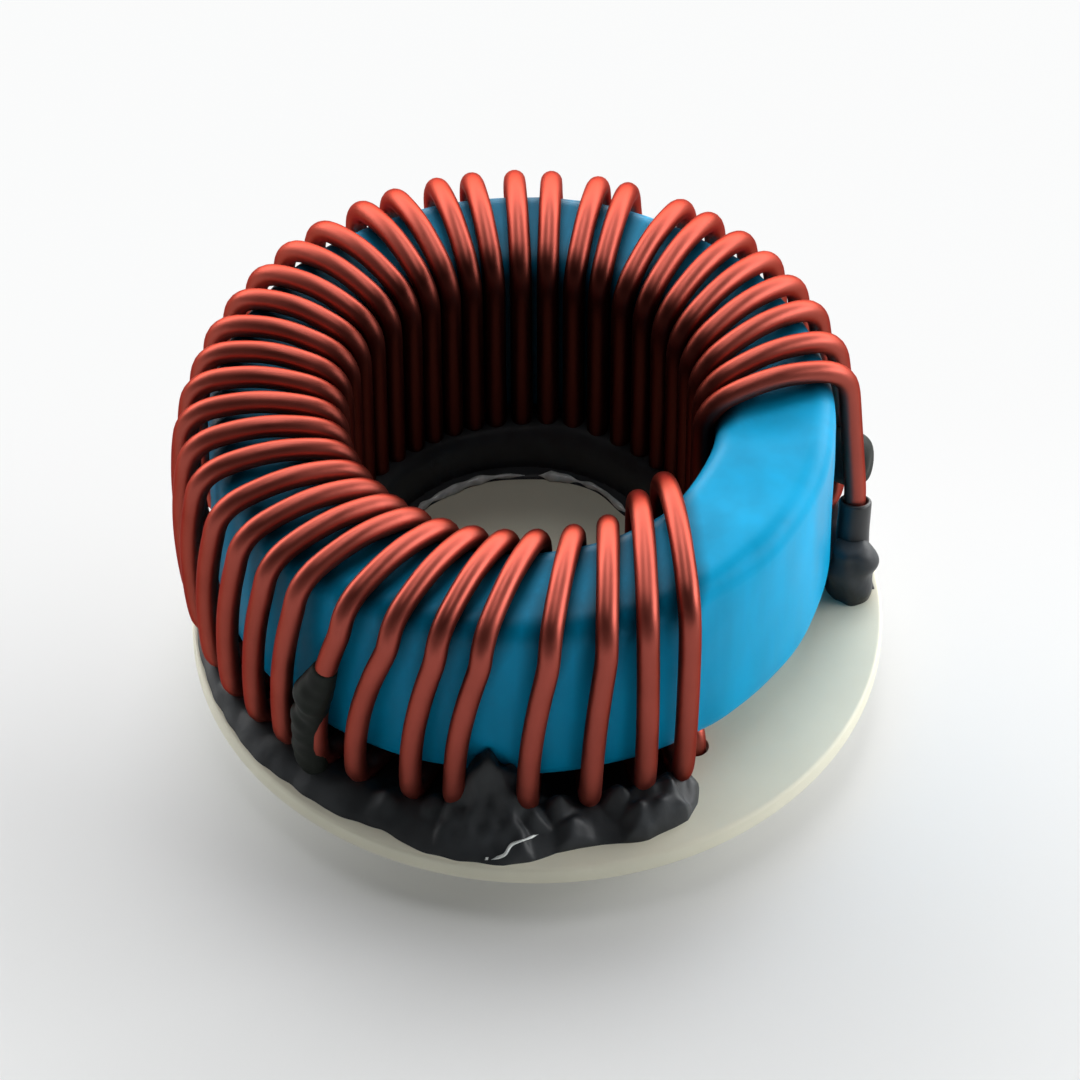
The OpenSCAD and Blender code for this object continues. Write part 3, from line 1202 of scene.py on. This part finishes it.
    def height(self, azimuth: Array, radius: Array) -> Array:
        """The bed's height over the plate.

        The ring is h (1 - |2u - 1|^3.4)^0.5 across its width and the bead is h (1 - |u|^1.7)^0.75 on both
        sides of its crest; the film fills in between, and the clumps rise through them. All edges are
        rounded by (1 - (1 - u)^2)^0.5.

        Args:
            azimuth: Directions from the coil's axis.
            radius: Distances from it.

        Returns:
            The height at each point.
        """
        plan, rim = polar(radius, azimuth), self.rim(azimuth)
        spot = raised(plan, 0.0)
        across = (radius - self.ring_in) / (self.ring_out - self.ring_in)
        ring = self.ring_h * np.clip(1 - np.abs(2 * across - 1) ** 3.4, 0, 1) ** 0.5
        ring = ring * (1 + 0.035 * ripple(spot, 7.0, 13))
        beyond = radius - self.crest_r
        outside = np.where(beyond > 0, beyond / (rim - self.crest_r), -beyond / self.bead_in)
        bead = self.crest_h * np.clip(1 - np.abs(outside) ** 1.7, 0, 1) ** 0.75
        bead = bead * (1 + 0.05 * ripple(spot, 5.0, 14))
        film, skirt = self.lay.film, self.skirt
        low = skirt + (film - skirt) * np.clip((radius - self.ring_in) / self.film_rise, 0, 1)
        low = np.where(beyond < 0, low, 0.0)
        height = np.maximum(np.maximum(ring, bead), low) + self.climb(plan) * np.clip(bead, 0, 1)
        rough = 1 + 0.07 * ripple(spot, 1.6, 16)
        for clump in self.clumps:
            height = smooth_top(height, clump.height(azimuth, radius) * rough, self.crease)
        to_end = np.minimum(azimuth - self.start_az, self.end_az - azimuth) - self.tuck(radius)
        to_end = to_end * math.radians(1) * radius / self.end_round
        to_edge = np.minimum(radius - self.inner(azimuth), rim - radius) / self.edge_round
        near = np.clip(np.minimum(to_edge, to_end), 0, 1)
        return height * (1 - (1 - near) ** 2) ** 0.5

    def tuck(self, radius: Array) -> Array:
        """How many degrees the bed draws back from its ends' directions: the ring's ends are round.

        The draw-back is d u^2, with u running from 0 on the ring's middle to 1 at its edges, and it fades
        out under the coil.

        Args:
            radius: Distances from the coil's axis.

        Returns:
            The degrees at each distance.
        """
        middle = (self.skirt_in + self.ring_out) / 2
        u = np.clip(np.abs(radius - middle) / (self.ring_out - middle), 0, 1)
        return self.drawn_back * u**2 * np.clip((self.drawn_from - radius) / self.drawn_fade, 0, 1)

    def inner(self, azimuth: Array) -> Array:
        """Radius of the skirt's wavy inner edge."""
        spot = raised(polar(self.skirt_in, azimuth), 0.0)
        return self.skirt_in + self.skirt_wave * ripple(spot, 6.0, 12)

    def at(self, azimuth: Array, radius: Array) -> Array:
        """Points on the bed's surface, in the plate's frame."""
        top = self.lay.base_t + np.maximum(self.height(azimuth, radius), 0.0)
        return raised(polar(radius, azimuth) + self.lay.axis, top)

    def build(self) -> bpy.types.Object:
        """Raises the height over a polar grid, and closes it with a flat underside on the plate.

        The grid's rows lie close together at the skirt and at the rim, and it is drawn back at both ends.

        Returns:
            The piece.
        """
        azimuth = np.linspace(self.start_az, self.end_az, self.columns)[None, :]
        inner, rim = self.inner(azimuth), self.rim(azimuth)
        share = np.concatenate([
            np.linspace(0, 0.2, 30)[:-1],
            np.linspace(0.2, 0.7, 12)[:-1],
            1 - (1 - np.linspace(0, 1, 50)) ** 1.25 * 0.3,
        ])[:, None]
        radius = inner + (rim - inner) * share
        near_start = np.clip(1 - (azimuth - self.start_az) / self.drawn_over, 0, 1)
        near_end = np.clip(1 - (self.end_az - azimuth) / self.drawn_over, 0, 1)
        return self.closed(self.at(azimuth + self.tuck(radius) * (near_start - near_end), radius))

    def closed(self, top: Array) -> bpy.types.Object:
        """Closes a raised sheet whose border lies on the plate with one flat strip below.

        Each column of the sheet becomes a ring: up over the sheet and back straight below it.

        Args:
            top: The sheet, of shape (rows, columns, 3).

        Returns:
            The piece.
        """
        back = np.array(top[[-1, 0]])
        back[..., 2] = self.lay.base_t - self.sunk
        rings = np.concatenate([top, back]).transpose(1, 0, 2)
        return Skin(rings).piece("glue_bedding", 60)


@dataclass
class GlueSmear:
    """Glue smeared round a stretch of an outer leg.

    Attributes:
        wire: The winding.
        turn: Which outer leg.
        low: Height at which the smear starts.
        high: Height at which it ends.
        side: Where it is thickest, in degrees from straight outwards towards the next turn.
        thick: Its thickness there, three quarters of the way up.
        seed: Chooses its lumps.
        rows: Rings along the leg.
        columns: Points in a ring.
    """

    wire: WireTurns
    turn: int = 30
    low: float = 2.2
    high: float = 13.9
    side: float = -80.0
    thick: float = 0.85
    seed: int = 71
    rows: int = 70
    columns: int = 44

    def build(self) -> bpy.types.Object:
        """Sweeps a circle along the leg, thicker on one side: r + (k(s) + T b(t)^n) e(s), with lumps.

        b is 1 on the thick side and falls away round the leg, and T and n grow less upwards; e closes both
        ends; and the skin k covers the whole wire only in the upper half, so that the wire shows beside the
        glue below.

        Returns:
            The piece.
        """
        wire_r, axis = self.wire.lay.wire_r, self.wire.lay.axis
        leg = self.wire.leg(np.array([self.turn]))[0] + raised(axis, 0.0)
        z = np.linspace(self.low, self.high, self.rows)
        plan = np.stack([np.interp(z, leg[:, 2], leg[:, k]) for k in range(2)], axis=-1)
        path = raised(plan, z)
        t = np.arange(self.columns) * 360 / self.columns
        bias = 0.5 + 0.5 * np.cos(np.radians(t + 90 - self.side))[None, :]
        share = np.linspace(0, 1, self.rows)[:, None]
        ends = np.sin(np.pi * share**0.8) ** 0.4
        bare = swept(path, wire_r, self.columns, axis)
        lumps = 1 + 0.16 * ripple(bare, 3.0, self.seed) + 0.08 * ripple(bare, 1.3, self.seed + 1)
        skin = 0.3 * np.clip((share - 0.5) * 4 + bias, 0, 1) - 0.12
        narrow = 3.6 - 2 * np.clip(share * 1.6, 0, 1)
        beside = self.thick * (1.45 - 0.6 * share) * bias**narrow
        radius = wire_r + (skin + beside) * ends * lumps
        return Skin(swept(path, radius, self.columns, axis)).piece("glue_smear_left", 80)


@dataclass
class GlueDab:
    """An upright lump of glue: an egg shape with an uneven skin.

    Attributes:
        name: The piece's name.
        centre: Its middle.
        radius: Its greatest radius.
        half: Half its height.
        seed: Chooses its lumps.
        rows: Rings from its foot to its top.
        columns: Points in a ring.
    """

    name: str
    centre: Array
    radius: float
    half: float
    seed: int
    rows: int = 40
    columns: int = 56

    def build(self) -> bpy.types.Object:
        """Turns an egg-shaped section, r cos(a)^0.8 at height h sin(a), and swells it unevenly.

        Returns:
            The piece.
        """
        a = np.linspace(-0.49, 0.49, self.rows) * np.pi
        height = self.centre[2] + self.half * np.sin(a)
        profile = np.stack([self.radius * np.cos(a) ** 0.8, height], axis=-1)
        rings = turned(profile, self.columns, self.centre[:2])
        away = rings - self.centre
        swell = 1 + 0.07 * ripple(rings, 3.4, self.seed) + 0.015 * ripple(rings, 1.8, self.seed + 1)
        return Skin(self.centre + away * swell[..., None]).piece(self.name, 80)


@dataclass
class GlueCollar:
    """The lumpy glue round the foot of the first lead.

    Attributes:
        lay: The shared layout.
        tall: Its height over the plate.
        foot_r: Its radius on the plate.
        neck_r: Its radius at the top, against the sleeve.
        rows: Rings from the plate to the top.
        columns: Points in a ring.
        lumps: Direction, height and size of each lump.
        lump_turn: Width of a lump, in degrees.
        lump_rise: Half its height.
    """

    lay: Layout
    tall: float = 4.9
    foot_r: float = 1.75
    neck_r: float = 1.32
    rows: int = 40
    columns: int = 64
    lumps: tuple[tuple[float, float, float], ...] = (
        (-8.0, 3.3, 0.42), (-75.0, 1.6, 0.25), (-150.0, 2.8, 0.2), (-40.0, 4.2, 0.16),
    )
    lump_turn: float = 48.0
    lump_rise: float = 1.0

    def build(self) -> bpy.types.Object:
        """Turns a tapering profile and pushes out lumps: r (1 + sum of s bell(direction) bell(height)).

        Returns:
            The piece.
        """
        share = np.linspace(0, 1, self.rows)
        taper = self.foot_r + (self.neck_r - self.foot_r) * share**0.7
        close = np.clip((1 - share) / 0.12, 0, 1)
        radius = (taper - 0.5) + 0.5 * (1 - (1 - close) ** 2) ** 0.5
        profile = np.stack([radius, self.lay.base_t + self.tall * share], axis=-1)
        hub = raised(self.lay.hole(1), 0.0)
        rings = turned(profile, self.columns, self.lay.hole(1))
        out = rings - hub
        azimuth = np.degrees(np.arctan2(out[..., 1], out[..., 0]))
        push = 1 + 0.06 * ripple(rings, 3.0, 81) + 0.03 * ripple(rings, 1.3, 82)
        for at, height, size in self.lumps:
            turn = (azimuth - at + 180) % 360 - 180
            rise = rings[..., 2] - self.lay.base_t - height
            push = push + size * bell(turn, self.lump_turn) * bell(rise, self.lump_rise)
        out[..., :2] *= push[..., None]
        return Skin(out + hub).piece("glue_collar", 80)


@dataclass
class GlueString:
    """A thin dried string of glue.

    Attributes:
        name: The piece's name.
        knots: Points that the string passes through.
        radius: Its radius.
        spacing: Distance between the rings of the swept surface.
        sides: Sides of its section.
        hub: Plan point that the section is turned to.
    """

    name: str
    knots: Array
    radius: float
    spacing: float = 0.15
    sides: int = 10
    hub: tuple[float, float] = (0.0, 20.0)

    def build(self) -> bpy.types.Object:
        """Sweeps a thin uneven circle along the knots, pinched almost to nothing at both ends.

        Returns:
            The piece.
        """
        path = relaxed(evenly(self.knots, self.spacing), 3)
        pinch = np.clip(np.sin(np.pi * np.linspace(0, 1, len(path))) * 3, 0.1, 1)
        radius = self.radius * (1 + 0.3 * ripple(path, 1.1, 51)) * pinch
        return Skin(swept(path, radius, self.sides, np.array(self.hub))).piece(self.name)


@dataclass
class LeadTubing:
    """The black sleeve on the first lead.

    Attributes:
        lay: The shared layout.
        wire: The winding, whose first leg it slides on.
        wall: Its wall thickness.
        lift: How far its foot stands above the point where the lead leaves the glue.
        rows: Rings along each wall.
        columns: Points in a ring.
    """

    lay: Layout
    wire: WireTurns
    wall: float = 0.38
    lift: float = 0.5
    rows: int = 30
    columns: int = 36

    def build(self) -> bpy.types.Object:
        """Sweeps the tube's outside up the lead and its inside back down, with rounded mouths.

        Returns:
            The piece.
        """
        foot = self.lay.lead_foot()
        toward = unit(self.lay.lead_knee(self.wire.first_az) - foot)
        outer, r, length = self.lay.sleeve_od / 2, self.wall / 2, self.lay.sleeve_len
        lip = arc((0.0, 0.0), r, 0, 180, 7)
        up = np.linspace(r, length - r, self.rows)
        along = np.concatenate([up, length - r + lip[:, 1], up[::-1], r - lip[::-1, 1]])
        reach = np.concatenate([
            np.full(self.rows, outer),
            outer - r + lip[:, 0],
            np.full(self.rows, outer - self.wall),
            outer - r + lip[::-1, 0],
        ])
        path = foot + toward * self.lift + toward * along[:, None]
        side = unit(np.cross(toward, [0.0, 0.0, 1.0]) + 1e-9)
        other = np.cross(toward, side)
        t = np.arange(self.columns) * 2 * np.pi / self.columns
        spokes = side * np.cos(t)[:, None] + other * np.sin(t)[:, None]
        rings = path[:, None] + spokes * reach[:, None, None]
        rings = rings + spokes * (0.03 * ripple(rings, 3.0, 61))[..., None]
        return Skin(rings, Ends.JOINED).piece("lead_tubing", 60)


@dataclass(frozen=True)
class Softbox:
    """A square soft lamp, aimed at the part.

    Attributes:
        name: The lamp's name.
        place: Where it hangs, in metres.
        size: Its side in metres.
        watts: Its power.
        aim: The point that it shines on, in metres.
    """

    name: str
    place: tuple[float, float, float]
    size: float
    watts: float
    aim: tuple[float, float, float] = (0.0, 0.0, 0.008)

    def hang(self) -> None:
        """Puts the lamp up."""
        lamp = bpy.data.lights.new(self.name, "AREA")
        lamp.shape = "SQUARE"
        lamp.size = self.size
        lamp.energy = self.watts
        holder = bpy.data.objects.new(self.name, lamp)
        holder.location = self.place
        way = Vector(self.aim) - Vector(self.place)
        holder.rotation_euler = way.to_track_quat("-Z", "Y").to_euler()
        bpy.context.scene.collection.objects.link(holder)


@dataclass
class Studio:
    """A pale floor, soft light all round, and the camera.

    Attributes:
        floor_z: Height of the floor in millimetres, where the pins' tips stand.
        floor_side: Side of the floor in metres.
        eye: The camera's place in metres.
        right: The image's right-hand direction.
        up: The image's upward direction.
        lens: Focal length in millimetres.
        sensor: Width of the sensor in millimetres.
        overhead: Light from overhead and from the front high up.
        horizon: Light from all round, low down.
        back_high: Light from the back, high up.
        back_low: Light from the back, low down.
        back_span: Between which parts of a direction's way to the back the back's light comes in.
        height_span: Between which heights of a direction the light changes from low to high.
        floor_colour: The floor's colour in light.
        backdrop_colour: The colour that it has to the eye far behind the part.
        backdrop_fade: Between which distances behind the part, in metres, and between which shares of it.
        lamps: The soft lamps.
    """

    floor_z: float = -3.5
    floor_side: float = 3.0
    eye: tuple[float, float, float] = (0.0, -0.281063, 0.302987)
    right: tuple[float, float, float] = (0.99998917, -0.00373827, -0.0027706)
    up: tuple[float, float, float] = (0.00461677, 0.7229192, 0.69091716)
    lens: float = 182.85
    sensor: float = 36.0
    overhead: float = 0.012
    horizon: float = 0.25
    back_high: float = 1.0
    back_low: float = 7.2
    back_span: tuple[float, float] = (0.1, 0.7)
    height_span: tuple[float, float] = (0.38, 0.68)
    floor_colour: tuple[float, float, float] = (0.82, 0.83, 0.83)
    backdrop_colour: tuple[float, float, float] = (0.96, 0.965, 0.965)
    backdrop_fade: tuple[float, float, float, float] = (-0.03, 0.03, 0.05, 0.95)
    lamps: tuple[Softbox, ...] = (
        Softbox("right_softbox", (0.55, 0.02, 0.22), 0.35, 2.1),
        Softbox("top_softbox", (0.0, 0.04, 0.65), 0.2, 0.36),
        Softbox("back_softbox", (0.0, 0.3, 0.52), 0.22, 0.65),
    )

    def floor(self) -> bpy.types.Object:
        """Lays the floor: plain and matt, paler to the eye with distance behind the part.

        Returns:
            The floor.
        """
        half = self.floor_side / 2 / MM
        across = np.linspace(-half, half, 3)
        x, y = np.meshgrid(across, across)
        points = np.stack([x, y, np.full_like(x, self.floor_z)], axis=-1).reshape(-1, 3) * MM
        corner = (np.arange(2)[:, None] * 3 + np.arange(2)).reshape(-1, 1)
        faces = (corner + [0, 1, 4, 3]).tolist()
        mesh = bpy.data.meshes.new("floor")
        mesh.from_pydata(points.tolist(), [], faces)
        mesh.materials.append(self.floor_material())
        sheet = bpy.data.objects.new("floor", mesh)
        bpy.context.scene.collection.objects.link(sheet)
        return sheet

    def floor_material(self) -> bpy.types.Material:
        """A pale matt surface that fades, for seen and mirrored rays, into the white backdrop.

        Returns:
            The material.
        """
        material = bpy.data.materials.new("pale_floor")
        material.use_nodes = True
        material.node_tree.nodes.clear()
        bench = Bench(material.node_tree)
        matt = bench.node("BsdfDiffuse", {"Color": (*self.floor_colour, 1)})
        glow = bench.node("Emission", {"Color": (*self.backdrop_colour, 1)})
        place = bench.node("TexCoord", {}).outputs["Object"]
        split = bench.node("SeparateXYZ", {"Vector": place})
        far = bench.ramp(split.outputs["Y"], self.backdrop_fade, Curve.EASED)
        share = bench.worked_out("MULTIPLY", self.seen(bench), far)
        mix = bench.node("MixShader", {"Fac": share, 1: matt.outputs["BSDF"], 2: glow.outputs["Emission"]})
        bench.node("OutputMaterial", {"Surface": mix.outputs["Shader"]})
        return material

    @staticmethod
    def seen(bench: Bench) -> Socket:
        """Adds nodes that give 1 for rays that show something: seen straight, mirrored or let through.

        Args:
            bench: The node tree to add to.

        Returns:
            The output that is 1 for such rays.
        """
        path = bench.node("LightPath", {}).outputs
        both = bench.worked_out("MAXIMUM", path["Is Camera Ray"], path["Is Glossy Ray"])
        return bench.worked_out("MAXIMUM", both, path["Is Transmission Ray"])

    def sky(self) -> None:
        """Lights the set all round, softly: f + h l + b (m + n l), from the direction (x, y, z).

        b rises from 0 to 1 towards the back, and l from 0 overhead to 1 near the horizon. f is the light
        from overhead and h is added near the horizon; m is the light from the back and n is added to it low
        down.
        """
        world = bpy.data.worlds.new("studio")
        bpy.context.scene.world = world
        world.use_nodes = True
        world.node_tree.nodes.clear()
        bench = Bench(world.node_tree)
        place = bench.node("TexCoord", {}).outputs["Generated"]
        way = bench.node("SeparateXYZ", {"Vector": place}).outputs
        back = bench.ramp(way["Y"], (*self.back_span, 0.0, 1.0), Curve.EASED)
        around = bench.ramp(way["Z"], (*self.height_span, self.horizon, self.overhead), Curve.EASED)
        behind = bench.ramp(way["Z"], (*self.height_span, self.back_low, self.back_high), Curve.EASED)
        strength = bench.worked_out("MULTIPLY_ADD", back, behind, around)
        light = bench.node("Background", {"Strength": strength})
        bench.node("OutputWorld", {"Surface": light.outputs["Background"]})

    def camera(self) -> None:
        """Stands the camera in its place: a long lens that looks down at the part from the front."""
        right, up = Vector(self.right).normalized(), Vector(self.up).normalized()
        back = right.cross(up)
        lens = bpy.data.cameras.new("camera")
        lens.lens = self.lens
        lens.sensor_width = self.sensor
        lens.clip_start = 0.01
        lens.clip_end = 20
        holder = bpy.data.objects.new("camera", lens)
        turn = Matrix((right, up, back)).transposed().to_4x4()
        holder.matrix_world = Matrix.Translation(Vector(self.eye)) @ turn
        bpy.context.scene.collection.objects.link(holder)
        bpy.context.scene.camera = holder

    def build(self) -> None:
        """Sets up the floor, the light and the camera."""
        self.floor()
        self.sky()
        for lamp in self.lamps:
            lamp.hang()
        self.camera()
        bpy.context.scene.view_settings.view_transform = "Standard"


@dataclass
class Inductor:
    """The whole part: builds each piece, dresses it and hides the solids that it stands for.

    Attributes:
        lay: The layout that all pieces share.
        finishes: The materials built so far, by their names.
    """

    lay: Layout = field(default_factory=Layout)
    finishes: dict[str, bpy.types.Material] = field(default_factory=dict)

    def dress(self, piece: bpy.types.Object, finish: Finish, slot: Slot, *nodes: str) -> None:
        """Gives a piece its finish and its place in the frame.

        Args:
            piece: The piece.
            finish: Its finish; the same finish is built once and shared.
            slot: The record's material slot; not used.
            nodes: The solids that it stands for.
        """
        if finish.name not in self.finishes:
            self.finishes[finish.name] = finish.material()
        piece.data.materials.clear()
        piece.data.materials.append(self.finishes[finish.name])
        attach(piece, ROOT)
        if nodes:
            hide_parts(*nodes)
        log.info("%s: %d faces in %s", piece.name, len(piece.data.polygons), finish.name)

    def strings(self, bed: GlueBed) -> list[GlueString]:
        """The dried strings, painted pale as highlights: the pale rim round the bare plate, a painted
        sheen on the glue skirt's edge, and one over the chip, a painted highlight along a glossy ridge.

        Args:
            bed: The glue bed they lie on.

        Returns:
            The strings, not yet built.
        """
        over_chip = np.array([[265.4, 28.6], [267.4, 28.35], [268.2, 27.7], [270.2, 27.5], [272.4, 26.7]])
        lying = bed.at(*over_chip.T) + [0.0, 0.0, 0.07]
        drop = bed.at(np.array([264.5, 265.0]), np.array([28.6, 28.55]))
        drop[:, 2] += [0.05, 0.25]
        share = np.linspace(0, 1, 40)
        # The pale rim strings are a painted sheen on the edge of the glue skirt; the string over the chip
        # is painted pale as a highlight.
        left, right = (bed.at(az, bed.inner(az) + 0.25) for az in (143 - 54 * share, 83 - 46 * share))
        return [
            GlueString("glue_rim_painted_sheen_left", left, 0.24),
            GlueString("glue_rim_painted_sheen_right", right, 0.28),
            GlueString("glue_string_painted_highlight_lying", lying, 0.09),
            GlueString("glue_string_painted_highlight_drop", drop, 0.17),
        ]

    def build(self) -> None:
        """Builds the pieces from the plate up."""
        lay = self.lay
        wire = WireTurns(lay)
        self.dress(BaseDisc(lay).build(), LAMINATE, Slot.LAMINATE, "base_plate")
        self.dress(CoatedCore(lay, wire).build(), EPOXY, Slot.COAT, "core")
        self.dress(wire.build(), ENAMEL, Slot.WIRE, "winding")
        for pin in TinnedPins(lay).build():
            self.dress(pin, TINNED, Slot.WIRE)
        bed = GlueBed(lay, wire)
        self.dress(bed.build(), GLUE, Slot.GLUE, "glue_bed")
        self.dress(GlueSmear(wire).build(), DULL_GLUE, Slot.GLUE, "glue_dab_left")
        beside = raised(lay.axis + polar(lay.leg_r + 0.6, 11.0), 9.2)
        dab = GlueDab("glue_dab_right", beside, radius=2.05, half=2.4, seed=73)
        self.dress(dab.build(), DULL_GLUE, Slot.GLUE, "glue_dab_right")
        self.dress(GlueCollar(lay).build(), GLUE, Slot.GLUE)
        for string in self.strings(bed):
            self.dress(string.build(), GLUE_HIGHLIGHT, Slot.GLUE)
        self.dress(LeadTubing(lay, wire).build(), TUBING, Slot.SLEEVE, "lead_sleeve")


def main() -> None:
    """Builds the part and the studio round it."""
    logging.basicConfig(level=logging.INFO, format="%(message)s")
    Inductor().build()
    Studio().build()


if __name__ == "__main__":
    main()
